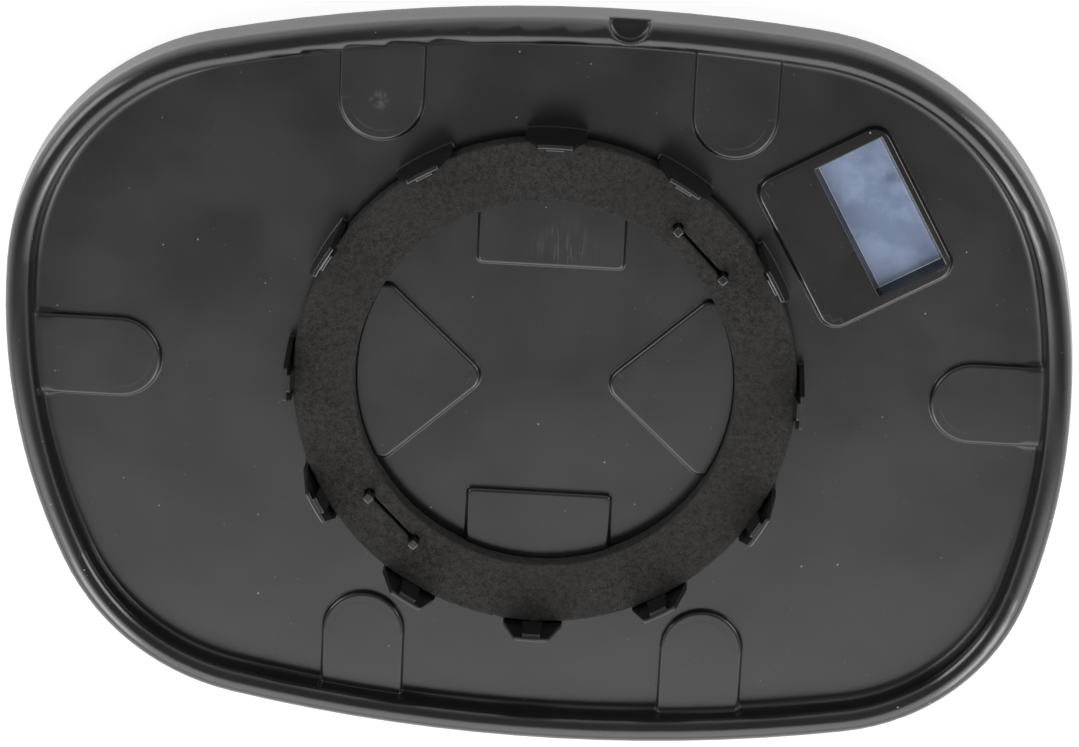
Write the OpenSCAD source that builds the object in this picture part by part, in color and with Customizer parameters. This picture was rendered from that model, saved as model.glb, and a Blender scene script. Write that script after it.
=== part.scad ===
// Door mirror glass on a moulded backing plate, for a power mirror.
// All lengths are in millimetres. The glass lies face down on z = 0 and +Z runs
// through the part to its back. The outline's middle is on the Z axis.

/* [Outline] */
// Width across the rim's outer wall
plate_width = 190.6; // [175:0.2:205]
// Height across the rim's outer wall
plate_height = 135.2; // [125:0.2:146]
// Radius of the upper side
upper_radius = 330; // [280:1:400]
// Radius of the lower side
lower_radius = 310; // [260:1:380]
// Radius of the left side
left_radius = 114; // [104:1:130]
// Radius of the right side
right_radius = 120; // [108:1:135]
// Radius of the upper right corner
upper_right_corner = 53; // [46:0.5:58]
// Radius of the upper left corner
upper_left_corner = 45.5; // [40:0.5:52]
// Radius of the lower left corner
lower_left_corner = 43.5; // [38:0.5:50]
// Radius of the lower right corner
lower_right_corner = 39.5; // [34:0.5:46]
// How far right of the middle the upper side is highest
upper_peak = 11; // [6:0.5:15]
// How far right of the middle the lower side is lowest
lower_peak = 6; // [2:0.5:10]
// How far above the middle the left side is widest
left_peak = 10.8; // [6:0.2:14]
// How far above the middle the right side is widest
right_peak = -2; // [-6:0.2:2]

/* [Glass] */
// Thickness of the mirror glass
glass_thickness = 1.8; // [1.4:0.1:2.4]
// How far the glass edge lies inside the rim's outer wall
glass_inset = 0.75; // [0.5:0.05:1]
// Thickness of the double-sided adhesive sheet
adhesive_thickness = 0.3; // [0.2:0.05:0.6]

/* [Rim] */
// Height of the rim's crest above the floor
rim_height = 5.3; // [4.4:0.1:6.5]
// Width of the rim at its foot
rim_width = 4.95; // [4.9:0.05:5.8]
// Thickness of the rim's wall
rim_wall = 1.4; // [1.1:0.1:1.6]
// Radius of the crest on the outer side
crest_outer_radius = 2.7; // [2:0.1:2.7]
// Radius of the crest on the inner side
crest_inner_radius = 1.9; // [1.5:0.1:2]
// Draft of the outer wall, in degrees
outer_draft = 6.5; // [3:0.5:8]
// Draft of the inner wall, in degrees
inner_draft = 3.5; // [2:0.5:4]
// How far the rim's front edge stays behind the glass face
front_step = 0.5; // [0.2:0.1:0.9]

/* [Floor and raised pads] */
// Thickness of the floor
floor_thickness = 1.5; // [1.2:0.1:2.2]
// Height of the raised pads above the floor
pad_height = 1.2; // [0.8:0.1:1.6]
// Radius along the top edge of everything raised
pad_edge_radius = 0.5; // [0.3:0.05:0.6]
// Draft of the steps round the raised pads, in degrees
pad_draft = 15; // [5:1:25]
// Width of the six pads at the rim
rim_pad_width = 15.2; // [13:0.2:18]
// Sideways distance from the clip circle's centre to an upper or lower rim pad
rim_pad_spread = 31; // [28:0.5:33]
// Distance from the clip circle's centre to the end of an upper or lower rim pad
rim_pad_reach = 42.4; // [41:0.2:48]
// Distance from the clip circle's centre to the end of a side rim pad
side_pad_reach = 68.8; // [66:0.2:74]
// Half the width of the two square inner pads
square_pad_half_width = 13.2; // [11:0.2:14.6]
// Distance from the clip circle's centre to a square inner pad
square_pad_reach = 21; // [20:0.2:25]
// Half the height of the two pointed inner pads
pointed_pad_half_height = 16.5; // [14:0.5:18]
// Distance from the clip circle's centre to the sharp tip of a pointed inner pad
pointed_pad_reach = 9.8; // [8:0.2:12]
// Half angle of the tip of a pointed inner pad, in degrees
pointed_pad_half_angle = 42.5; // [38:0.5:48]
// Radius that rounds the tip of a pointed inner pad
pointed_pad_tip_radius = 3.5; // [3.2:0.1:4.5]

/* [Window block] */
// Angle of the window block, in degrees
block_angle = 30; // [26:0.5:34]
// Length of the block across the window's short side
block_width = 26; // [23:0.2:29]
// Length of the block along the window's long side
block_length = 30.9; // [30:0.1:33]
// Height of the block above the floor
block_height = 1.7; // [1.3:0.1:2.2]
// Radius of the block's corners
block_corner = 3.5; // [3.2:0.1:4.5]
// Distance of the block's middle from the clip circle's centre, along its width
block_along = 61.8; // [60.5:0.1:62.5]
// Distance of the block's middle from the clip circle's centre, along its length
block_across = 0.4; // [-1:0.1:2]
// Width of the window at the top of the block
window_width = 13.1; // [10:0.1:15]
// Length of the window at the top of the block
window_length = 25.9; // [22:0.1:26.4]
// Width of the block between the window and the block's outer end
window_margin = 1.6; // [1.4:0.1:3]
// Draft of the window's four walls, in degrees
window_draft = 10; // [3:0.5:14]

/* [Clip circle] */
// How far right of the outline's middle the clip circle's centre lies
circle_x = 1.4; // [-0.5:0.1:3]
// How far above the outline's middle the clip circle's centre lies
circle_y = 0.7; // [-1:0.1:2]
// Number of snap clips
clip_count = 12; // [8:1:14]
// Radius of the clips' inner faces
clip_circle_radius = 45.4; // [44:0.1:47]
// Height of a clip above the floor
clip_height = 11.8; // [10:0.1:13]
// Wall thickness of a clip at its foot
clip_foot_wall = 1; // [0.8:0.05:1.4]
// Wall thickness of a clip at its tip
clip_tip_wall = 0.7; // [0.5:0.05:0.8]
// Width of a clip at its foot
clip_foot_width = 10.7; // [9:0.1:12]
// Width of a clip at its tip
clip_tip_width = 6; // [5:0.1:7]
// Height above the floor up to which a clip keeps its full width
clip_shoulder = 4.4; // [3:0.1:6]
// Width of the hook
hook_width = 3.4; // [2.4:0.1:4.4]
// How far the hook's catch reaches in from the clip's inner face
hook_reach = 1.1; // [0.8:0.05:1.4]
// How far the hook's top edge reaches in from the clip's inner face
hook_lead = 0.55; // [0.3:0.05:0.7]
// Height of the hook's catch above the floor
catch_height = 6.2; // [5.4:0.1:7]
// How far the hook's top lies below the clip's tip
hook_drop = 0.6; // [0.3:0.1:1]

/* [Foam ring] */
// Outer radius of the foam ring
foam_outer_radius = 45; // [43:0.1:45.2]
// Inner radius of the foam ring
foam_inner_radius = 33.9; // [32:0.1:34.8]
// Thickness of the foam ring
foam_thickness = 4.4; // [3.2:0.1:5]
// Radius from the clip circle's centre to the middle of the foam's slits
slit_radius = 37.2; // [36.6:0.1:38.6]
// Overall length of a slit
slit_length = 14.6; // [13:0.1:16]
// Width of a slit
slit_width = 1; // [0.6:0.1:1.4]
// Diameter of the round ends of a slit
slit_end_diameter = 2.8; // [2.6:0.1:3.2]
// Thickness of the square posts that stand in the slits' ends
post_thickness = 1.4; // [1:0.1:1.6]
// Height of the posts above the floor
post_height = 7.4; // [5.5:0.1:8.5]

/* [Finger notch] */
// How far right of the outline's middle the notch in the rim lies
notch_x = 13.1; // [0:0.5:30]
// Radius of the notch
notch_radius = 3.6; // [3:0.1:4]
// Depth of the notch below the rim's crest
notch_depth = 3.2; // [2.4:0.1:3.6]

/* [Hidden] */
// Straight pieces in a full turn: of a sweep, and of a small round
$fn = 180;
small_round = 48;
// Named heights
glass_back = glass_thickness;
floor_bottom = glass_thickness + adhesive_thickness;
floor_top = floor_bottom + floor_thickness;
crest = floor_top + rim_height;
// Depth to which everything that stands on the floor is sunk into it
sink = 0.6;
// Play between two pieces, or between a piece and its seat
play = 0.1;
// Width of the band that is swept round a flat sheet, and inset of the middle that meets it
band = 12;
middle_inset = band / 2;
// Corners on each arc of a sheet's middle, and on each arc of the floor's hidden edge
middle_steps = 2;
floor_steps = 6;
// How far the floor's edge reaches into the rim's inner wall, and the wall's clearance under it
floor_inset = rim_width - 0.65 * rim_wall;
rim_relief = 0.3;
// Chamfer along the foot of the rim's inner wall
foot_chamfer = 0.45;
// Inner face of the rim's hollow, and its roof
hollow_end = rim_width - rim_wall;
hollow_roof = crest - rim_wall;
// Chamfer round the ground edge of the glass
glass_chamfer = 0.3;
// Where the rim pads stop, halfway through the rim's inner wall
rim_pad_stop = rim_width - rim_wall / 2;
// Width of the strip that a raised shape is swept with, and inset of the slab inside it
strip = 3;
slab_inset = 2;
// Share of a small corner's radius that its sweep leaves to the slab
core = 0.05;
// Radius at the two bends of a pointed inner pad, and of a square pad's corners
pointed_pad_bend = 2;
square_pad_corner = 1.2;
// Half the width of a clip's mould draft along its hook's sides
hook_draft = 0.15;
// Solid wall round the notch, where the rim isn't hollow
notch_wall = 1.4;
notch_lap = 0.3;
// Distance along the slit from its middle to the middle of a round end
slit_end = (slit_length - slit_end_diameter) / 2;
slit_angles = [45, 225];
// Smallest overlap between two shapes that are joined or cut
lap = 0.05;
// How far a rounding stands out of the two faces that it joins
ease = 0.001;
// A corner piece is thinner by this all round, and ends this far inside its neighbours
slim = 0.01;
stub = 0.1;
// Size of a helper shape that only has to be large enough
ample = 60;

// Point at a distance from the origin in a direction
function polar(r, a) = [r * cos(a), r * sin(a)];
// Direction from one point to another, from 0 to 360 degrees
function heading(p, q) = (atan2(q.y - p.y, q.x - p.x) + 360) % 360;
// Centre of a circle of radius r that touches two larger circles from inside
function corner_centre(c1, r1, c2, r2, r, side) =
    let (d1 = r1 - r, d2 = r2 - r, v = c2 - c1, d = norm(v))
    let (a = (d1 * d1 - d2 * d2 + d * d) / (2 * d), h = sqrt(max(d1 * d1 - a * a, 0)))
    let (m = c1 + v * a / d, n = [-v.y, v.x] * h / d)
    (m + n) * side > (m - n) * side ? m + n : m - n;

// Centres of the four long sides
right_centre = [plate_width / 2 - right_radius, right_peak];
upper_centre = [upper_peak, plate_height / 2 - upper_radius];
left_centre = [left_radius - plate_width / 2, left_peak];
lower_centre = [lower_peak, lower_radius - plate_height / 2];
// Centres of the four corners
upper_right_centre = corner_centre(right_centre, right_radius, upper_centre,
                                   upper_radius, upper_right_corner, [1, 1]);
upper_left_centre = corner_centre(upper_centre, upper_radius, left_centre,
                                  left_radius, upper_left_corner, [-1, 1]);
lower_left_centre = corner_centre(left_centre, left_radius, lower_centre,
                                  lower_radius, lower_left_corner, [-1, -1]);
lower_right_centre = corner_centre(lower_centre, lower_radius, right_centre,
                                   right_radius, lower_right_corner, [1, -1]);
// Directions in which neighbouring arcs meet, counterclockwise from the right side's upper end
joint_1 = heading(right_centre, upper_right_centre);
joint_2 = heading(upper_centre, upper_right_centre);
joint_3 = heading(upper_centre, upper_left_centre);
joint_4 = heading(left_centre, upper_left_centre);
joint_5 = heading(left_centre, lower_left_centre);
joint_6 = heading(lower_centre, lower_left_centre);
joint_7 = heading(lower_centre, lower_right_centre);
joint_8 = heading(right_centre, lower_right_centre);
// The outline as a closed chain of arcs: centre, radius, first and last direction
upper_arc = [upper_centre, upper_radius, joint_2, joint_3];
sides = [
    [right_centre, right_radius, joint_8 - 360, joint_1],
    upper_arc,
    [left_centre, left_radius, joint_4, joint_5],
    [lower_centre, lower_radius, joint_6, joint_7]
];
corners = [
    [upper_right_centre, upper_right_corner, joint_1, joint_2],
    [upper_left_centre, upper_left_corner, joint_3, joint_4],
    [lower_left_centre, lower_left_corner, joint_5, joint_6],
    [lower_right_centre, lower_right_corner, joint_7, joint_8]
];
// Points of the outline moved inwards, with the same number on each arc and none at its ends
function outline_points(inset, steps) = [
    for (i = [0 : 3]) for (a = [sides[i], corners[i]]) for (k = [0.5 : steps - 0.5])
        a[0] + polar(a[1] - inset, a[2] + (a[3] - a[2]) * k / steps)
];

// Sweeps a section along one arc. In the section x runs inwards from the outer wall.
module along_arc(arc, more = 0) {
    translate(arc[0])
        rotate(arc[2] - more)
            rotate_extrude(angle = arc[3] - arc[2] + 2 * more)
                translate([arc[1], 0]) mirror([1, 0]) children();
}

// Degrees of a turn that are as long as a stub
function stub_angle(radius) = stub / radius * 180 / PI;

// Sweeps a section along the four sides
module along_sides() {
    $slim = 0;
    for (arc = sides) along_arc(arc) children();
}

// Sweeps a section round the four corners. The section is thinner by $slim all round.
module round_corners() {
    $slim = slim;
    for (arc = corners) along_arc(arc, stub_angle(arc[1])) children();
}

// The flat middle of a sheet, which the swept band meets
module middle(bottom, top) {
    translate([0, 0, bottom])
        linear_extrude(top - bottom) polygon(outline_points(middle_inset, middle_steps));
}

// Places children at the clip circle's centre, on the floor
module on_floor() {
    translate([circle_x, circle_y, floor_top]) children();
}

// Cutter that rounds the corner a of an outline, between its neighbours p and q
module round_off(a, p, q, radius) {
    u = (p - a) / norm(p - a);
    v = (q - a) / norm(q - a);
    half = acos(u * v) / 2;
    centre = a + (u + v) / norm(u + v) * radius / sin(half);
    reach = radius / tan(half);
    difference() {
        polygon([centre, 2 * (a + u * reach) - centre, 2 * a - centre, 2 * (a + v * reach) - centre]);
        translate(centre) circle(r = radius + ease, $fn = small_round);
    }
}

/* Mirror glass and adhesive sheet */

module glass_edge() {
    edge = glass_inset + $slim;
    polygon([[edge, glass_chamfer], [edge + glass_chamfer, $slim], [band, $slim],
             [band, glass_back - $slim], [edge + glass_chamfer, glass_back - $slim],
             [edge, glass_back - glass_chamfer]]);
}

module mirror_glass() {
    color("#a9b3c4") {
        middle(0, glass_back);
        along_sides() glass_edge();
        round_corners() glass_edge();
    }
}

module adhesive_edge() {
    translate([rim_width + $slim, glass_back + $slim])
        square([band - rim_width - $slim, adhesive_thickness - 2 * $slim]);
}

module adhesive_sheet() {
    color("#d9d6cc") difference() {
        union() {
            middle(glass_back, floor_bottom);
            along_sides() adhesive_edge();
            round_corners() adhesive_edge();
        }
        window();
    }
}

/* Rim */

// Section of the rim, a hollow bead. Its inner wall reaches into the floor.
module rim_section() {
    top = crest - $slim;
    front = front_step + $slim;
    outer_lean = [tan(outer_draft), 1];
    inner_lean = [-tan(inner_draft), 1];
    side = [$slim, crest - crest_outer_radius];
    foot = [rim_width - $slim, floor_top];
    outer_top = side + outer_lean * (top - side.y);
    inner_top = foot + inner_lean * (top - foot.y);
    leg = foot.x + foot_chamfer;
    leg_bottom = floor_bottom + rim_relief + $slim;
    middle = (rim_wall + hollow_end) / 2;
    difference() {
        polygon([side + outer_lean * (front - side.y), outer_top, inner_top,
                 foot + inner_lean * 1.5 * foot_chamfer, [leg, floor_top - foot_chamfer / 2],
                 [leg, leg_bottom], [middle, leg_bottom], [middle, front]]);
        round_off(outer_top, side, inner_top, crest_outer_radius);
        round_off(inner_top, outer_top, foot, crest_inner_radius);
        rim_hollow();
        glass_seat();
    }
}

// Section of the hollow behind the crest, open towards the glass
module rim_hollow() {
    left = rim_wall - $slim;
    right = hollow_end + $slim;
    roof = hollow_roof + $slim;
    bottom = glass_back - lap;
    translate([left, bottom]) square([right - left, roof - bottom]);
}

// Section of the seat for the glass
module glass_seat() {
    translate([glass_inset - play - $slim, -1]) square([band, glass_back + 1 + $slim]);
}

// Flat floor of the plate. Its edge is hidden in the rim's inner wall.
module floor_sheet() {
    translate([0, 0, floor_bottom])
        linear_extrude(floor_thickness) polygon(outline_points(floor_inset, floor_steps));
}

// Solid stretch of the rim that carries the notch
module notch_block() {
    intersection() {
        along_arc(upper_arc) translate([rim_wall - notch_lap, glass_back])
            square([rim_width - 2 * rim_wall + 2 * notch_lap, hollow_roof + notch_lap - glass_back]);
        notch_cylinder(notch_radius + notch_wall, 0);
    }
}

module notch_cylinder(radius, bottom) {
    rise = sqrt(upper_radius * upper_radius - pow(notch_x - upper_peak, 2));
    translate([notch_x, upper_centre.y + rise, bottom]) cylinder(r = radius, h = crest + 1 - bottom);
}

/* Raised shapes on the floor */

// Section of a raised shape's side. It leans back and has a rounded top edge.
module raised_side(height, reach, slim = 0) {
    top = [(height - slim) * tan(pad_draft) + slim, height - slim];
    bottom = [slim - (sink - slim) * tan(pad_draft), slim - sink];
    difference() {
        polygon([bottom, top, [reach, top.y], [reach, bottom.y]]);
        round_off(top, bottom, [reach, top.y], pad_edge_radius);
    }
}

// Section of a raised shape that leans in on both sides
module raised_section(half, height) {
    lean = tan(pad_draft);
    foot = half + sink * lean;
    top = half - height * lean;
    difference() {
        polygon([[-foot, -sink], [foot, -sink], [top, height], [-top, height]]);
        round_off([top, height], [foot, -sink], [-top, height], pad_edge_radius);
        round_off([-top, height], [-foot, -sink], [top, height], pad_edge_radius);
    }
}

// Turn at corner i of a closed outline, in degrees to the left
function turn(p, i) =
    let (n = len(p), a = heading(p[(i + n - 1) % n], p[i]), b = heading(p[i], p[(i + 1) % n]))
    (b - a + 540) % 360 - 180;
// Step from corner i of a closed outline to the corner of the same outline moved inwards
function inward(p, i, distance) =
    let (n = len(p), a = heading(p[(i + n - 1) % n], p[i]), b = heading(p[i], p[(i + 1) % n]))
    (polar(1, a + 90) + polar(1, b + 90)) * distance / (1 + cos(b - a));

// A raised shape with straight sides. Its outline's corners run counterclockwise,
// and each has its own radius.
module raised(outline, radii, height) {
    n = len(outline);
    for (i = [0 : n - 1]) {
        p = outline[i];
        q = outline[(i + 1) % n];
        direction = heading(p, q);
        start = radii[i] * abs(tan(turn(outline, i) / 2));
        end = radii[(i + 1) % n] * abs(tan(turn(outline, (i + 1) % n) / 2));
        translate(p + polar(start, direction)) rotate([90, 0, direction + 90])
            linear_extrude(norm(q - p) - start - end) raised_side(height, strip);
        more = radii[i] > 0 ? stub_angle(radii[i]) : 0;
        if (radii[i] > 0 && turn(outline, i) > 0)
            translate(p + inward(outline, i, radii[i])) rotate(direction - turn(outline, i) - 90 - more)
                rotate_extrude(angle = turn(outline, i) + 2 * more)
                    translate([radii[i], 0]) mirror([1, 0])
                        raised_side(height, min(strip, radii[i] * (1 - core)), slim);
        if (radii[i] > 0 && turn(outline, i) < 0)
            translate(p - inward(outline, i, radii[i])) rotate(direction + 90 - more)
                rotate_extrude(angle = -turn(outline, i) + 2 * more)
                    translate([radii[i], 0]) raised_side(height, strip, slim);
    }
    slab = [for (i = [0 : n - 1])
        outline[i] + inward(outline, i, radii[i] > 0 ? min(slab_inset, radii[i] * (1 - 2 * core)) : slab_inset)];
    translate([0, 0, -sink]) linear_extrude(height + sink) polygon(slab);
}

// A pad with a round end at the origin's side and straight sides along +X
module round_ended_pad(length) {
    half = rim_pad_width / 2;
    more = stub_angle(half);
    rotate(90 - more) rotate_extrude(angle = 180 + 2 * more)
        translate([half, 0]) mirror([1, 0]) raised_side(pad_height, strip, slim);
    translate([0, 0, -sink]) cylinder(r = half - slab_inset, h = pad_height + sink);
    rotate([90, 0, 90]) linear_extrude(length) raised_section(half, pad_height);
}

// A rim pad whose end lies at the given place, and which runs into the rim on one side
module rim_pad(place, direction, side_centre, side_radius) {
    intersection() {
        on_floor() translate(place) rotate(direction)
            translate([rim_pad_width / 2, 0]) round_ended_pad(ample);
        translate(side_centre) cylinder(r = side_radius - rim_pad_stop, h = crest);
    }
}

module rim_pads() {
    for (x = [-rim_pad_spread, rim_pad_spread]) {
        rim_pad([x, rim_pad_reach], 90, upper_centre, upper_radius);
        rim_pad([x, -rim_pad_reach], -90, lower_centre, lower_radius);
    }
    rim_pad([side_pad_reach, 0], 0, right_centre, right_radius);
    rim_pad([-side_pad_reach, 0], 180, left_centre, left_radius);
}

// The four pads inside the foam ring, which end at its inner face
module inner_pads() {
    square_pad = [[square_pad_reach, square_pad_half_width], [square_pad_reach, -square_pad_half_width],
                  [ample, -square_pad_half_width], [ample, square_pad_half_width]];
    bend = pointed_pad_reach + pointed_pad_half_height / tan(pointed_pad_half_angle);
    pointed_pad = [[pointed_pad_reach, 0], [bend, -pointed_pad_half_height],
                   [ample, -pointed_pad_half_height], [ample, pointed_pad_half_height],
                   [bend, pointed_pad_half_height]];
    for (a = [90, 270])
        on_floor() rotate(a) inside_foam()
            raised(square_pad, [square_pad_corner, square_pad_corner, 0, 0], pad_height);
    for (a = [0, 180])
        on_floor() rotate(a) inside_foam()
            raised(pointed_pad, [pointed_pad_tip_radius, pointed_pad_bend, 0, 0, pointed_pad_bend],
                   pad_height);
}

module inside_foam() {
    intersection() {
        children();
        translate([0, 0, -floor_thickness]) cylinder(r = foam_inner_radius - play, h = crest);
    }
}

/* Window block */

module on_block() {
    on_floor() rotate(block_angle) translate([block_along, block_across, 0]) children();
}

module window_block() {
    x = block_width / 2;
    y = block_length / 2;
    on_block() raised([[-x, -y], [x, -y], [x, y], [-x, y]],
                      [block_corner, block_corner, block_corner, block_corner], block_height);
}

// Through hole with drafted walls, narrower towards the glass
module window() {
    top = block_height + 1;
    bottom = -floor_top - 1;
    lean = (top - bottom) * tan(window_draft);
    grow = tan(window_draft);
    shift = block_width / 2 - window_margin - window_width / 2;
    x = window_width / 2 + grow;
    y = window_length / 2 + grow;
    on_block() translate([shift, 0, 0]) intersection() {
        rotate([90, 0, 0]) linear_extrude(ample, center = true)
            polygon([[-x, top], [x, top], [x - lean, bottom], [lean - x, bottom]]);
        rotate([90, 0, 90]) linear_extrude(ample, center = true)
            polygon([[-y, top], [y, top], [y - lean, bottom], [lean - y, bottom]]);
    }
}

/* Snap clips and posts */

// Clip on the +X side of the clip circle, standing on the floor
module clip() {
    r = clip_circle_radius;
    hook_top = clip_height - hook_drop;
    half_span = 10;
    intersection() {
        rotate(-half_span) rotate_extrude(angle = 2 * half_span)
            polygon([[r, -sink], [r + clip_foot_wall, -sink], [r + clip_foot_wall, 0],
                     [r + clip_tip_wall, clip_height], [r, clip_height]]);
        translate([r / 2, 0, 0]) rotate([90, 0, 90]) linear_extrude(r)
            polygon([[-clip_foot_width / 2, -sink], [clip_foot_width / 2, -sink],
                     [clip_foot_width / 2, clip_shoulder], [clip_tip_width / 2, clip_height],
                     [-clip_tip_width / 2, clip_height], [-clip_foot_width / 2, clip_shoulder]]);
    }
    intersection() {
        rotate(-half_span) rotate_extrude(angle = 2 * half_span)
            polygon([[r + clip_tip_wall / 2, catch_height], [r + clip_tip_wall / 2, hook_top],
                     [r - hook_lead, hook_top], [r - hook_reach, catch_height + hook_reach],
                     [r - hook_reach, catch_height]]);
        translate([r / 2, 0, 0]) rotate([90, 0, 90]) linear_extrude(r)
            polygon([[-hook_width / 2 - hook_draft, catch_height - lap],
                     [hook_width / 2 + hook_draft, catch_height - lap],
                     [hook_width / 2 - hook_draft, clip_height],
                     [hook_draft - hook_width / 2, clip_height]]);
    }
}

module clips() {
    on_floor() for (i = [0 : clip_count - 1]) rotate(90 + i * 360 / clip_count) clip();
}

// Square posts that stand in the slits of the foam ring
module posts() {
    on_floor() for (a = slit_angles, side = [-1, 1])
        rotate(a) translate([slit_radius, side * slit_end, (post_height - sink) / 2])
            cube([post_thickness, post_thickness, post_height + sink], center = true);
}

/* The moulded plate and the foam ring */

module backing_plate() {
    color("#1c1c1e") difference() {
        union() {
            floor_sheet();
            along_sides() rim_section();
            round_corners() rim_section();
            notch_block();
            rim_pads();
            inner_pads();
            window_block();
            clips();
            posts();
        }
        notch_cylinder(notch_radius, crest - notch_depth);
        window();
    }
}

module foam_ring() {
    color("#3a3936") on_floor() difference() {
        cylinder(r = foam_outer_radius, h = foam_thickness);
        translate([0, 0, -1]) cylinder(r = foam_inner_radius, h = foam_thickness + 2);
        for (a = slit_angles) rotate(a) translate([slit_radius, 0, -1]) {
            translate([-slit_width / 2, -slit_end, 0])
                cube([slit_width, 2 * slit_end, foam_thickness + 2]);
            for (side = [-1, 1]) translate([0, side * slit_end, 0])
                cylinder(d = slit_end_diameter, h = foam_thickness + 2);
        }
    }
}

mirror_glass();
adhesive_sheet();
backing_plate();
foam_ring();
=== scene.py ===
import math

import bpy
from mathutils import Matrix, Vector


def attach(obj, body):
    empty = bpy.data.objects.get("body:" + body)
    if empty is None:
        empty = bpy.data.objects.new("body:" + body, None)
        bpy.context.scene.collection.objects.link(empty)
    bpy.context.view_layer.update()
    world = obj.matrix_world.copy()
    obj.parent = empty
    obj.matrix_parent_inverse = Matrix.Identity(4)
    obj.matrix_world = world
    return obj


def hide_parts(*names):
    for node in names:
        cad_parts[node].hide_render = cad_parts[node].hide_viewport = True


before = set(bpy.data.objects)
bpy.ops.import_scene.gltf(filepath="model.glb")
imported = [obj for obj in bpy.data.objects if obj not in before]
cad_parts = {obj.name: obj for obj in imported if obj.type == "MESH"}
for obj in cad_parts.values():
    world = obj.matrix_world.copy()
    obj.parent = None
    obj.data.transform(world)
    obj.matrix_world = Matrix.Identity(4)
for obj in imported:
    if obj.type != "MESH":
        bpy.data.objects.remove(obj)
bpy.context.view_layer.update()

# One millimetre in Blender's metres. Sizes below are in millimetres times MM.
MM = 0.001

# The camera's place and its own axes, as worked out from the circle of clips
CAMERA_PLACE = Vector((13.2, 207.7, 646.0)) * MM
CAMERA_RIGHT = Vector((0.99829, 0.04690, -0.03499))
CAMERA_UP = Vector((-0.05534, 0.95106, -0.30401))
CAMERA_BACK = Vector((0.01902, 0.30543, 0.95202))
CAMERA_LENS = 125.66
SENSOR_WIDTH = 36.0
CLIP_START = 0.01
CLIP_END = 30.0

# The height of the glass's back, and the heights between which the plastic turns from dull to glossy
GLASS_BACK = 1.8 * MM
GLOSS_FROM = 4.95 * MM
GLOSS_FULL = 5.4 * MM

# Half the size of the rim's outline. On the outline, x / HALF_WIDTH and y / HALF_HEIGHT, each raised
# to RIM_POWER, add up to about 1. The Bevel node's radius grows as that sum goes from RIM_FROM to
# RIM_FULL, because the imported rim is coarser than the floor.
HALF_WIDTH = 95.0 * MM
HALF_HEIGHT = 67.6 * MM
RIM_POWER = 3.0
RIM_FROM = 0.74
RIM_FULL = 0.8
BEVEL_SAMPLES = 8
BEVEL_FLOOR = 0.35 * MM
BEVEL_RIM = 1.4 * MM

# The foam ring's middle, and its slits with a round hole at each end. The foam closes round them by
# a share of the distance, which fades out at the reach.
CIRCLE = Vector((1.4, 0.7)) * MM
SLIT_ANGLES = (45.0, 225.0)
SLIT_RADIUS = 37.2 * MM
SLIT_HALF = 5.9 * MM
SLIT_SIDE = 0.5 * MM
SLIT_REACH = 2.2 * MM
SLIT_CLOSING = 0.45
HOLE_RADIUS = 1.4 * MM
HOLE_REACH = 3.2 * MM
HOLE_CLOSING = 0.36
HOLE_START = -1.2 * HOLE_RADIUS
# The foam's cells, its softened edges and the depth of its crumbs
FOAM_CELL = 0.36 * MM
FOAM_SOFTENING = 0.5
CRUMB_SIZE = 0.9 * MM
CRUMB_DEPTH = 0.16 * MM
CRUMB_LEVEL = 0.62

# Marks that the photo shows: a painted highlight on the upper left pad, drawn streaks on the upper inner
# pad, and a smudge on the glass in the window. Each is whole up to FROM from its middle and gone from
# GONE on.
PAINTED_HIGHLIGHT = (-30.0 * MM, 50.6 * MM, 4.8 * MM)
PAINTED_HIGHLIGHT_FROM = 0.7 * MM
PAINTED_HIGHLIGHT_GONE = 2.2 * MM
STREAKS = (3.6 * MM, 25.6 * MM, 4.8 * MM)
STREAKS_FROM = 1.0 * MM
STREAKS_GONE = 7.5 * MM
SMUDGE = (61.0 * MM, 41.0 * MM, GLASS_BACK)
SMUDGE_FROM = 0.5 * MM
SMUDGE_GONE = 4.8 * MM
STREAKS_STRETCH = (1.0, 0.08, 1.0)
SMUDGE_STRETCH = (1.0, 2.4, 1.0)
# How strongly each mark shows, and the painted highlight
SPECKS_SHARE = 0.7
LINT_SHARE = 0.35
PAINTED_HIGHLIGHT_SHARE = 0.16
STREAKS_SHARE = 0.09
SMUDGE_SHARE = 0.55

# Specks of dust and lint: the size of a cell, the share of the cells that have one, and their radii.
# They lie where the normal's height is over DUSTY_SLOPE.
SPECKS = (6.2 * MM, 0.1, 0.06 * MM, 0.18 * MM)
LINT = (2.1 * MM, 0.05, 0.03 * MM, 0.08 * MM)
DUSTY_SLOPE = 0.6

# The paper under the part, and how bright it is where it is seen
PAPER_HALF = 0.7
PAPER_LEVEL = -0.1 * MM
PAPER_GLOW = 0.8

# The lamps: azimuth and elevation in degrees, distance, width and height in metres, and radiance
LAMPS = {
    "right_box": (22.0, 26.0, 1.3, 0.6, 0.6, 2.7),
    "left_box": (156.0, 26.0, 1.3, 0.6, 0.6, 2.7),
    "front_right_strip": (308.0, 36.0, 1.3, 0.3, 0.5, 3.4),
    "front_left_strip": (232.0, 36.0, 1.3, 0.3, 0.5, 3.4),
}


def grey(value):
    return (value, value, value, 1.0)


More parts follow.
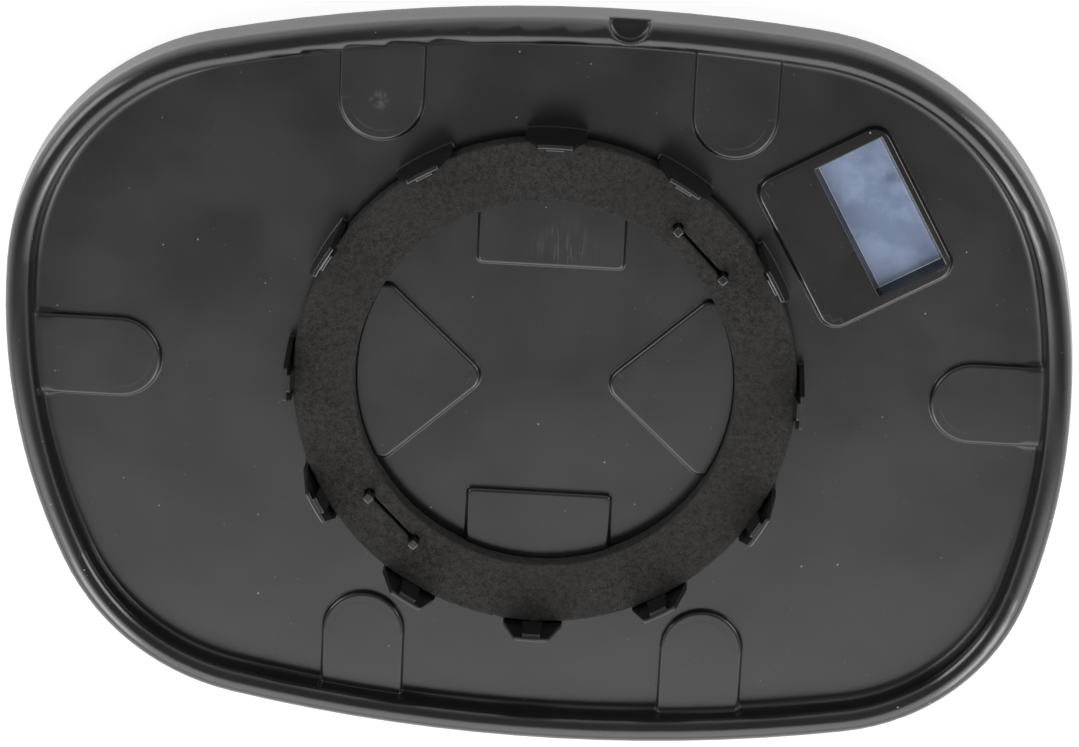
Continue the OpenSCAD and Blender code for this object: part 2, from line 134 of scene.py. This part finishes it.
# Cloudy noises of the looks: the size of their features, their detail and their roughness
HAZE = (22.0 * MM, 4.0, 0.55)
WAVES = (18.0 * MM, 2.0, 0.4)
GRAIN = (0.4 * MM, 2.0, 0.6)
HIGHLIGHT_MOTTLE = (1.6 * MM, 4.0, 0.7)
STREAK_LINES = (0.6 * MM, 3.0, 0.6)
COAT_CLOUDS = (9.0 * MM, 4.0, 0.6)
GLASS_FILM = (1.2 * MM, 3.0, 0.6)
SMUDGE_WEAR = (3.5 * MM, 3.0, 0.6)
FILM_FIBRES = (0.6 * MM, 4.0, 0.7)
FOAM_CRUMBS = (0.34 * MM, 4.0, 0.75)
FOAM_PITS = (1.1 * MM, 3.0, 0.6)
FOAM_CLOUDS = (12.0 * MM, 3.0, 0.5)
FOAM_FLECKS = (0.5 * MM, 2.0, 0.5)
PAPER_FIBRES = (2.0 * MM, 3.0, 0.6)

# Parts of a noise's range over which a value goes from its first to its last
WIDE = (0.3, 0.7)
MIDDLE = (0.35, 0.65)
COAT_RANGE = (0.35, 0.62)
FILM_RANGE = (0.15, 0.4)
HIGHLIGHT_RANGE = (0.42, 0.6)
STREAKS_RANGE = (0.5, 0.66)
SMUDGE_RANGE = (0.35, 0.6)
FLECKS_RANGE = (0.7, 0.76)

# Roughness, from the smoothest to the roughest place, and what dirt and the coat add to it
FLOOR_ROUGH = (0.2, 0.27)
RIM_ROUGH = (0.14, 0.19)
GLASS_ROUGH = (0.012, 0.05)
FILM_ROUGH = (0.6, 0.85)
FOAM_ROUGH = (0.85, 1.0)
PAPER_ROUGH = (0.85, 0.95)
DIRT_ROUGH = 0.5
COAT_ROUGH = 0.22

# Heights of the bumps, and shares of two noises where they are added
PLASTIC_BUMP = 0.06 * MM
GRAIN_SHARE = 0.012
GLASS_BUMP = 0.01 * MM
FILM_BUMP = 0.05 * MM
FOAM_BUMP = 0.1 * MM
FOAM_BUMP_STRENGTH = 0.8
CRUMBS_SHARE = 0.7
PITS_SHARE = 0.3
CLOUDS_SHARE = 0.3

# The plastic's index of refraction, the gloss of matte things, and how much less the coat mirrors
PLASTIC_INDEX = 1.8
MATTE_GLOSS = 0.2
COAT_VEIL = 0.65
# The glass's back faces up over the first height of the normal, and its edge lies below the second
BACK_UP = 0.7
EDGE_UP = 0.35

# The room: heights of the view between which it darkens overhead and brightens in front, with the
# levels there, and how far to the front the bright wall begins and is whole
OVERHEAD_RISE = (0.1, 0.75)
OVERHEAD_LEVELS = (0.85, 0.2)
WALL_RISE = (0.1, 0.4)
WALL_LEVELS = (0.85, 1.85)
WALL_FRONT = (0.25, 0.48)

# Colours of the looks, as red, green, blue and cover
PLASTIC_DARK = (0.0062, 0.0064, 0.0072, 1.0)
PLASTIC_PALE = (0.0108, 0.0106, 0.0108, 1.0)
# The next colour is the pale colour of dust and drawn streaks, and also of a painted highlight on the
# upper left pad
PLASTIC_DUST_AND_HIGHLIGHT = (0.42, 0.41, 0.39, 1.0)
PLASTIC_SHEEN = (1.0, 0.97, 0.975, 1.0)
COAT_DARK = (0.27, 0.34, 0.51, 1.0)
COAT_PALE = (0.4, 0.49, 0.71, 1.0)
COAT_SMUDGE = (0.09, 0.12, 0.18, 1.0)
MIRROR_DARK = (0.78, 0.81, 0.83, 1.0)
MIRROR_PALE = (0.81, 0.84, 0.86, 1.0)
GLASS_EDGE = (0.09, 0.17, 0.14, 1.0)
FILM_DARK = (0.66, 0.6, 0.48, 1.0)
FILM_PALE = (0.85, 0.82, 0.74, 1.0)
FOAM_DARK = (0.0138, 0.0134, 0.0126, 1.0)
FOAM_PALE = (0.0565, 0.0545, 0.0505, 1.0)
FOAM_CLOUD = (0.034, 0.0328, 0.0305, 1.0)
FOAM_CRUMB = (0.12, 0.115, 0.105, 1.0)
PAPER_DARK = grey(0.42)
PAPER_PALE = grey(0.45)


def add_camera():
    data = bpy.data.cameras.new("camera")
    data.sensor_width = SENSOR_WIDTH
    data.lens = CAMERA_LENS
    data.clip_start = CLIP_START
    data.clip_end = CLIP_END
    camera = bpy.data.objects.new("camera", data)
    bpy.context.scene.collection.objects.link(camera)
    axes = Matrix((CAMERA_RIGHT, CAMERA_UP, CAMERA_BACK)).transposed().to_4x4()
    camera.matrix_world = Matrix.Translation(CAMERA_PLACE) @ axes
    bpy.context.scene.camera = camera


add_camera()


class Nodes:
    """Builds a node tree with few words."""

    def __init__(self, tree):
        self.tree = tree

    def add(self, kind, **values):
        node = self.tree.nodes.new(kind)
        for name, value in values.items():
            setattr(node, name, value)
        return node

    def put(self, socket, value):
        if isinstance(value, bpy.types.NodeSocket):
            self.tree.links.new(value, socket)
        else:
            socket.default_value = value

    def math(self, operation, *values):
        node = self.add("ShaderNodeMath", operation=operation)
        for socket, value in zip(node.inputs, values):
            self.put(socket, value)
        return node.outputs[0]

    def vector(self, operation, *values):
        node = self.add("ShaderNodeVectorMath", operation=operation)
        for socket, value in zip(node.inputs, values):
            self.put(socket, value)
        gives_number = operation in ("LENGTH", "DISTANCE")
        return node.outputs["Value" if gives_number else "Vector"]

    def span(self, value, low, high, start=0.0, end=1.0, smooth=True):
        """Start where value is below low, end where it is above high."""
        node = self.add("ShaderNodeMapRange")
        node.interpolation_type = "SMOOTHSTEP" if smooth else "LINEAR"
        names = ("Value", "From Min", "From Max", "To Min", "To Max")
        for name, number in zip(names, (value, low, high, start, end)):
            self.put(node.inputs[name], number)
        return node.outputs["Result"]

    def noise(self, place, size, detail=3.0, rough=0.5):
        """Cloudy noise from 0 to 1, with features of about the given size in metres."""
        node = self.add("ShaderNodeTexNoise")
        self.put(node.inputs["Vector"], place)
        node.inputs["Scale"].default_value = 1.0 / size
        node.inputs["Detail"].default_value = detail
        node.inputs["Roughness"].default_value = rough
        return node.outputs["Fac"]

    def mix(self, factor, first, second):
        """First where the factor is 0, second where it is 1."""
        node = self.add("ShaderNodeMix", data_type="RGBA")
        self.put(node.inputs["Factor"], factor)
        colours = [socket for socket in node.inputs if socket.type == "RGBA"]
        self.put(colours[0], first)
        self.put(colours[1], second)
        return [socket for socket in node.outputs if socket.type == "RGBA"][0]

    def scaled(self, value, share):
        return self.math("MULTIPLY", value, share)

    def larger(self, *values):
        """The largest of some values."""
        most = values[0]
        for value in values[1:]:
            most = self.math("MAXIMUM", most, value)
        return most

    def near(self, place, middle, start, gone):
        """1 up to the start distance from the middle, and 0 from the gone distance on."""
        return self.span(self.vector("DISTANCE", place, middle), start, gone, 1.0, 0.0)

    def parts(self, vector):
        node = self.add("ShaderNodeSeparateXYZ")
        self.put(node.inputs[0], vector)
        return node.outputs

    def place(self):
        return self.add("ShaderNodeTexCoord").outputs["Object"]

    def normal(self):
        return self.add("ShaderNodeNewGeometry").outputs["Normal"]

    def bump(self, height, distance, strength=1.0, normal=None):
        node = self.add("ShaderNodeBump")
        self.put(node.inputs["Height"], height)
        node.inputs["Distance"].default_value = distance
        node.inputs["Strength"].default_value = strength
        if normal is not None:
            self.put(node.inputs["Normal"], normal)
        return node.outputs["Normal"]


def new_material(name):
    material = bpy.data.materials.new(name)
    material.use_nodes = True
    return material, Nodes(material.node_tree), material.node_tree.nodes["Principled BSDF"]


def dust(nodes, place, normal, cell, kept, smallest, largest):
    """Small specks that lie on surfaces facing up: 1 on a speck, else 0."""
    cells = nodes.add("ShaderNodeTexVoronoi", voronoi_dimensions="2D")
    nodes.put(cells.inputs["Vector"], nodes.vector("MULTIPLY", place, (1.0, 1.0, 0.0)))
    cells.inputs["Scale"].default_value = 1.0 / cell
    red, green, _ = nodes.parts(cells.outputs["Color"])
    radius = nodes.span(green, 0.0, 1.0, smallest / cell, largest / cell, smooth=False)
    speck = nodes.math("LESS_THAN", cells.outputs["Distance"], radius)
    chosen = nodes.math("LESS_THAN", red, kept)
    facing = nodes.math("GREATER_THAN", nodes.parts(normal)[2], DUSTY_SLOPE)
    return nodes.math("MULTIPLY", nodes.math("MULTIPLY", speck, chosen), facing)


def plastic_marks_and_highlight(nodes, place, dirt):
    """How strongly dust, the painted highlight on the upper left pad and the drawn streaks show, from 0
    to 1.
    """
    # A pale mottled patch on the upper left pad is a painted highlight
    highlight_mottle = nodes.span(nodes.noise(place, *HIGHLIGHT_MOTTLE), *HIGHLIGHT_RANGE)
    painted_highlight = nodes.math("MULTIPLY", nodes.near(place, PAINTED_HIGHLIGHT, PAINTED_HIGHLIGHT_FROM, PAINTED_HIGHLIGHT_GONE), highlight_mottle)
    long_way = nodes.vector("MULTIPLY", place, STREAKS_STRETCH)
    lines = nodes.span(nodes.noise(long_way, *STREAK_LINES), *STREAKS_RANGE)
    drawn = nodes.math("MULTIPLY", lines, nodes.near(place, STREAKS, STREAKS_FROM, STREAKS_GONE))
    painted_highlight, drawn = nodes.scaled(painted_highlight, PAINTED_HIGHLIGHT_SHARE), nodes.scaled(drawn, STREAKS_SHARE)
    return nodes.larger(dirt, painted_highlight, drawn)


def rim_share(nodes, distance, half):
    """A point's share of the way to the outline, raised to the outline's power."""
    share = nodes.math("ABSOLUTE", nodes.math("DIVIDE", distance, half))
    return nodes.math("POWER", share, RIM_POWER)


def smoothed_normal(nodes, x, y):
    """The normal, smoothed by a radius that is larger on the rim, where the mesh is coarse."""
    rim = nodes.math("ADD", rim_share(nodes, x, HALF_WIDTH), rim_share(nodes, y, HALF_HEIGHT))
    soft = nodes.add("ShaderNodeBevel", samples=BEVEL_SAMPLES)
    nodes.put(soft.inputs["Radius"], nodes.span(rim, RIM_FROM, RIM_FULL, BEVEL_FLOOR, BEVEL_RIM))
    return soft.outputs["Normal"]


def plastic_material():
    """Black glossy moulding: bright on the rim and clips, duller on the floor, with dust on it and a
    painted highlight on the upper left pad.
    """
    material, nodes, shader = new_material("black_plastic_look")
    place, normal = nodes.place(), nodes.normal()
    x, y, z = nodes.parts(place)
    haze = nodes.noise(place, *HAZE)
    specks = nodes.scaled(dust(nodes, place, normal, *SPECKS), SPECKS_SHARE)
    lint = nodes.scaled(dust(nodes, place, normal, *LINT), LINT_SHARE)
    dirt = nodes.larger(specks, lint)

    base = nodes.mix(nodes.span(haze, *MIDDLE), PLASTIC_DARK, PLASTIC_PALE)
    marks_and_highlight = plastic_marks_and_highlight(nodes, place, dirt)
    # Dust, drawn streaks and the painted highlight are mixed into the base colour
    nodes.put(shader.inputs["Base Color"], nodes.mix(marks_and_highlight, base, PLASTIC_DUST_AND_HIGHLIGHT))

    gloss = nodes.span(z, GLOSS_FROM, GLOSS_FULL)
    dull = nodes.span(haze, *WIDE, *FLOOR_ROUGH)
    bright = nodes.span(haze, *WIDE, *RIM_ROUGH)
    rough = nodes.math("MULTIPLY", gloss, nodes.math("SUBTRACT", bright, dull))
    rough = nodes.math("ADD", nodes.math("ADD", rough, dull), nodes.scaled(dirt, DIRT_ROUGH))
    nodes.put(shader.inputs["Roughness"], rough)
    shader.inputs["IOR"].default_value = PLASTIC_INDEX
    shader.inputs["Specular Tint"].default_value = PLASTIC_SHEEN

    waves = nodes.noise(place, *WAVES)
    grain = nodes.noise(place, *GRAIN)
    height = nodes.math("ADD", nodes.scaled(grain, GRAIN_SHARE), waves)
    bumps = nodes.bump(height, PLASTIC_BUMP, normal=smoothed_normal(nodes, x, y))
    nodes.put(shader.inputs["Normal"], bumps)
    return material


def glass_smudge(nodes, place):
    """How strongly the dark smudge on the glass's back shows, from 0 to 1."""
    offset = nodes.vector("MULTIPLY", nodes.vector("SUBTRACT", place, SMUDGE), SMUDGE_STRETCH)
    near = nodes.span(nodes.vector("LENGTH", offset), SMUDGE_FROM, SMUDGE_GONE, SMUDGE_SHARE, 0.0)
    uneven = nodes.span(nodes.noise(place, *SMUDGE_WEAR), *SMUDGE_RANGE)
    return nodes.math("MULTIPLY", near, uneven)


def mirror_material():
    """Silvered glass: a clear mirror in front, a blue-grey coat on the back, greenish edges."""
    material, nodes, shader = new_material("mirror_glass_look")
    place = nodes.place()
    up = nodes.parts(nodes.normal())[2]
    back = nodes.math("GREATER_THAN", up, BACK_UP)
    edge = nodes.math("LESS_THAN", nodes.math("ABSOLUTE", up), EDGE_UP)
    cloud = nodes.noise(place, *COAT_CLOUDS)
    fine = nodes.noise(place, *GLASS_FILM)

    coat = nodes.mix(nodes.span(cloud, *COAT_RANGE), COAT_DARK, COAT_PALE)
    coat = nodes.mix(glass_smudge(nodes, place), coat, COAT_SMUDGE)
    colour = nodes.mix(back, nodes.mix(cloud, MIRROR_DARK, MIRROR_PALE), coat)
    nodes.put(shader.inputs["Base Color"], nodes.mix(edge, colour, GLASS_EDGE))

    silvered = nodes.math("SUBTRACT", 1.0, edge)
    nodes.put(shader.inputs["Metallic"], nodes.math("SUBTRACT", silvered, nodes.scaled(back, COAT_VEIL)))
    film = nodes.span(nodes.math("MULTIPLY", cloud, fine), *FILM_RANGE, *GLASS_ROUGH)
    nodes.put(shader.inputs["Roughness"], nodes.math("ADD", film, nodes.scaled(back, COAT_ROUGH)))
    nodes.put(shader.inputs["Normal"], nodes.bump(cloud, GLASS_BUMP))
    return material


def adhesive_material():
    """Pale double-sided film with yellowed edges, seen as a thin line round the window."""
    material, nodes, shader = new_material("adhesive_look")
    fibres = nodes.noise(nodes.place(), *FILM_FIBRES)
    nodes.put(shader.inputs["Base Color"], nodes.mix(fibres, FILM_DARK, FILM_PALE))
    nodes.put(shader.inputs["Roughness"], nodes.span(fibres, *WIDE, *FILM_ROUGH))
    nodes.put(shader.inputs["Normal"], nodes.bump(fibres, FILM_BUMP))
    return material


def foam_material():
    """Dark open-cell foam with an open, crumbly skin."""
    material, nodes, shader = new_material("foam_look")
    place = nodes.place()
    crumbs = nodes.noise(place, *FOAM_CRUMBS)
    pits = nodes.noise(place, *FOAM_PITS)
    clouds = nodes.noise(place, *FOAM_CLOUDS)
    shade = nodes.math("ADD", nodes.scaled(crumbs, CRUMBS_SHARE), nodes.scaled(pits, PITS_SHARE))

    tone = nodes.mix(nodes.span(shade, *MIDDLE), FOAM_DARK, FOAM_PALE)
    tone = nodes.mix(nodes.span(clouds, *MIDDLE, 0.0, CLOUDS_SHARE), tone, FOAM_CLOUD)
    pale = nodes.span(nodes.noise(place, *FOAM_FLECKS), *FLECKS_RANGE)
    nodes.put(shader.inputs["Base Color"], nodes.mix(pale, tone, FOAM_CRUMB))
    nodes.put(shader.inputs["Roughness"], nodes.span(crumbs, *WIDE, *FOAM_ROUGH))
    shader.inputs["Specular IOR Level"].default_value = MATTE_GLOSS
    nodes.put(shader.inputs["Normal"], nodes.bump(shade, FOAM_BUMP, FOAM_BUMP_STRENGTH))
    return material


def dress(node_name, material):
    """Gives every face of a CAD object one material."""
    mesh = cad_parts[node_name].data
    mesh.materials.clear()
    mesh.materials.append(material)
    for face in mesh.polygons:
        face.material_index = 0


def fading(gap, edge, reach):
    """1 at the edge of an opening and inside it, falling to 0 at the reach."""
    return min(1.0, (reach - gap) / (reach - edge))


def close_slit(place, angle):
    """Where a point of the foam goes as the foam closes round the slit at the given angle."""
    turn = Matrix.Rotation(math.radians(angle), 2)
    out, along = turn.transposed() @ (place.xy - CIRCLE)
    out -= SLIT_RADIUS
    past = abs(along) - SLIT_HALF
    gap = math.hypot(out, past)
    if gap < HOLE_REACH and past > HOLE_START:
        pull = 1.0 - HOLE_CLOSING * fading(gap, HOLE_RADIUS, HOLE_REACH)
        out *= pull
        along = math.copysign(SLIT_HALF + past * pull, along)
    elif past < 0.0 and abs(out) < SLIT_REACH:
        out *= 1.0 - SLIT_CLOSING * fading(abs(out), SLIT_SIDE, SLIT_REACH)
    moved = turn @ Vector((out + SLIT_RADIUS, along)) + CIRCLE
    return Vector((moved.x, moved.y, place.z))


def roughen(foam):
    """Gives the foam an even fine mesh, soft edges and a crumbly surface. Returns the new mesh."""
    remesh = foam.modifiers.new("remesh", "REMESH")
    remesh.mode = "VOXEL"
    remesh.voxel_size = FOAM_CELL
    smooth = foam.modifiers.new("smooth", "SMOOTH")
    smooth.factor = FOAM_SOFTENING
    smooth.iterations = 1
    clouds = bpy.data.textures.new("foam_crumbs", "CLOUDS")
    clouds.noise_scale = CRUMB_SIZE
    clouds.noise_depth = 2
    crumbs = foam.modifiers.new("crumbs", "DISPLACE")
    crumbs.texture = clouds
    crumbs.texture_coords = "LOCAL"
    crumbs.strength = CRUMB_DEPTH
    crumbs.mid_level = CRUMB_LEVEL
    graph = bpy.context.evaluated_depsgraph_get()
    mesh = bpy.data.meshes.new_from_object(foam.evaluated_get(graph))
    foam.modifiers.clear()
    return mesh


def foam_piece():
    """The foam ring as a soft piece in the place of its CAD solid."""
    foam = bpy.data.objects.new("foam_ring_soft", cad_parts["foam_ring"].data.copy())
    bpy.context.scene.collection.objects.link(foam)
    mesh = roughen(foam)
    foam.data = mesh
    for vertex in mesh.vertices:
        for angle in SLIT_ANGLES:
            vertex.co = close_slit(vertex.co, angle)
    for face in mesh.polygons:
        face.use_smooth = True
    mesh.materials.clear()
    mesh.materials.append(foam_material())
    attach(foam, "root")
    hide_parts("foam_ring")


def add_floor():
    """White paper under the part. It keeps the part's shadow and is lifted to white where it is seen."""
    signs = ((-1, -1), (1, -1), (1, 1), (-1, 1))
    corners = [(x * PAPER_HALF, y * PAPER_HALF, PAPER_LEVEL) for x, y in signs]
    mesh = bpy.data.meshes.new("paper")
    mesh.from_pydata(corners, [], [(0, 1, 2, 3)])
    paper = bpy.data.objects.new("paper", mesh)
    bpy.context.scene.collection.objects.link(paper)

    material, nodes, shader = new_material("paper_look")
    fibres = nodes.noise(nodes.place(), *PAPER_FIBRES)
    nodes.put(shader.inputs["Base Color"], nodes.mix(fibres, PAPER_DARK, PAPER_PALE))
    nodes.put(shader.inputs["Roughness"], nodes.span(fibres, 0.0, 1.0, *PAPER_ROUGH))
    shader.inputs["Specular IOR Level"].default_value = MATTE_GLOSS
    path = nodes.add("ShaderNodeLightPath").outputs
    seen = nodes.larger(path["Is Camera Ray"], path["Is Glossy Ray"], path["Is Transmission Ray"])
    glow = nodes.add("ShaderNodeEmission")
    nodes.put(glow.inputs["Strength"], nodes.scaled(seen, PAPER_GLOW))
    both = nodes.add("ShaderNodeAddShader")
    nodes.put(both.inputs[0], shader.outputs[0])
    nodes.put(both.inputs[1], glow.outputs[0])
    nodes.put(material.node_tree.nodes["Material Output"].inputs["Surface"], both.outputs[0])
    mesh.materials.append(material)


def add_world():
    """A pale room, darker overhead, with a lighter wall in front of the part."""
    world = bpy.data.worlds.new("studio")
    bpy.context.scene.world = world
    world.use_nodes = True
    nodes = Nodes(world.node_tree)
    _, y, z = nodes.parts(nodes.add("ShaderNodeTexCoord").outputs["Generated"])
    overhead = nodes.span(z, *OVERHEAD_RISE, *OVERHEAD_LEVELS)
    front = nodes.span(nodes.scaled(y, -1.0), *WALL_FRONT)
    wall = nodes.math("MULTIPLY", front, nodes.span(z, *WALL_RISE, *WALL_LEVELS))
    below = nodes.math("LESS_THAN", z, 0.0)
    seen = nodes.add("ShaderNodeLightPath").outputs["Is Camera Ray"]
    room = world.node_tree.nodes["Background"]
    room.inputs["Color"].default_value = grey(1.0)
    nodes.put(room.inputs["Strength"], nodes.larger(overhead, wall, below, seen))


def add_lamp(name, azimuth, elevation, distance, width, height, radiance):
    """A soft box, seen from the part at the given azimuth and elevation in degrees."""
    turn, rise = math.radians(azimuth), math.radians(elevation)
    level = math.cos(rise)
    toward = Vector((math.cos(turn) * level, math.sin(turn) * level, math.sin(rise)))
    data = bpy.data.lights.new(name, "AREA")
    data.shape = "RECTANGLE"
    data.size = width
    data.size_y = height
    data.energy = radiance * math.pi * width * height
    lamp = bpy.data.objects.new(name, data)
    bpy.context.scene.collection.objects.link(lamp)
    lamp.location = toward * distance
    lamp.rotation_euler = (-toward).to_track_quat("-Z", "Y").to_euler()
    lamp.visible_camera = False


dress("backing_plate", plastic_material())
dress("mirror_glass", mirror_material())
dress("adhesive_sheet", adhesive_material())
foam_piece()

add_floor()
add_world()
for lamp_name, settings in LAMPS.items():
    add_lamp(lamp_name, *settings)

bpy.context.scene.view_settings.view_transform = "Standard"
